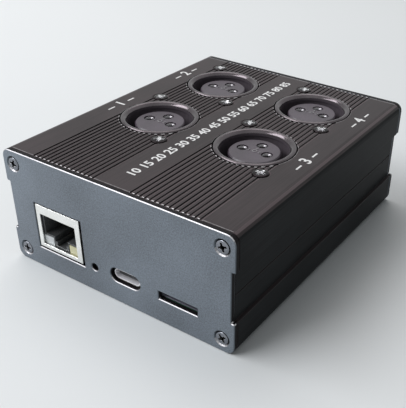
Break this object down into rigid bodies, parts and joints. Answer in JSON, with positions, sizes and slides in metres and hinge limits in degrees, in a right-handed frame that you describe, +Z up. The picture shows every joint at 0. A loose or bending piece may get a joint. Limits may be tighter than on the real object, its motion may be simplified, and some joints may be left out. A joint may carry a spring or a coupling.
{
  "type": "art-net node",
  "caption": "Extruded aluminium lighting-control node with XLR outlets on top and network, USB-C and memory card ports in its front plate.",
  "frame": {"origin": "middle of the underside, on the surface the box rests on", "axes": "+Y from the front plate to the rear plate, +X to the right as seen from the front, +Z up"},
  "size_m": [0.076, 0.0934, 0.0353],
  "materials": {
    "black_anodised": "satin black anodised",
    "black_plastic": "satin black",
    "bright_steel": "bright nickel plated",
    "dark_nickel": "dark nickel plated",
    "blackened_steel": "blackened",
    "silvered_brass": "silver plated",
    "gilded_brass": "gold plated",
    "board_green": "green solder mask",
    "clear_lens": "clear, slightly cloudy",
    "yellow_lens": "pale yellow, clear",
    "socket_grey": "dark grey",
    "chip_black": "matt black"
  },
  "bodies": {
    "enclosure": {"top_shell": "black_anodised", "bottom_shell": "black_anodised", "front_plate": "black_anodised", "rear_plate": "black_anodised", "front_plate_screw_upper_left": "dark_nickel", "front_plate_screw_upper_right": "dark_nickel", "front_plate_screw_lower_left": "dark_nickel", "front_plate_screw_lower_right": "dark_nickel", "rear_plate_screw_upper_left": "dark_nickel", "rear_plate_screw_upper_right": "dark_nickel", "rear_plate_screw_lower_left": "dark_nickel", "rear_plate_screw_lower_right": "dark_nickel", "main_board": "board_green", "socket_1_housing": "black_plastic", "socket_1_insert": "black_plastic", "socket_1_contact_1": "silvered_brass", "socket_1_contact_2": "silvered_brass", "socket_1_contact_3": "silvered_brass", "socket_1_screw_front": "blackened_steel", "socket_1_screw_rear": "blackened_steel", "socket_2_housing": "black_plastic", "socket_2_insert": "black_plastic", "socket_2_contact_1": "silvered_brass", "socket_2_contact_2": "silvered_brass", "socket_2_contact_3": "silvered_brass", "socket_2_screw_front": "blackened_steel", "socket_2_screw_rear": "blackened_steel", "socket_3_housing": "black_plastic", "socket_3_insert": "black_plastic", "socket_3_contact_1": "silvered_brass", "socket_3_contact_2": "silvered_brass", "socket_3_contact_3": "silvered_brass", "socket_3_screw_front": "blackened_steel", "socket_3_screw_rear": "blackened_steel", "socket_4_housing": "black_plastic", "socket_4_insert": "black_plastic", "socket_4_contact_1": "silvered_brass", "socket_4_contact_2": "silvered_brass", "socket_4_contact_3": "silvered_brass", "socket_4_screw_front": "blackened_steel", "socket_4_screw_rear": "blackened_steel", "jack_shield": "bright_steel", "jack_body": "black_plastic", "jack_wires": "gilded_brass", "jack_lens_left": "clear_lens", "jack_lens_right": "yellow_lens", "usb_shell": "bright_steel", "usb_tongue": "black_plastic", "card_socket_base": "socket_grey", "card_socket_cover": "bright_steel", "reset_switch_body": "bright_steel", "controller_chip": "chip_black", "network_chip": "chip_black", "power_regulator": "chip_black", "line_driver_1": "chip_black", "line_driver_2": "chip_black", "line_driver_3": "chip_black", "line_driver_4": "chip_black"},
    "reset_button": {"reset_plunger": "black_plastic"}
  },
  "joints": [
    {"name": "reset_press", "type": "slide", "parent": "enclosure", "child": "reset_button", "axis": [0, 1, 0], "range_m": [0, 0.00025], "stiffness_N_per_m": 1600}
  ]
}
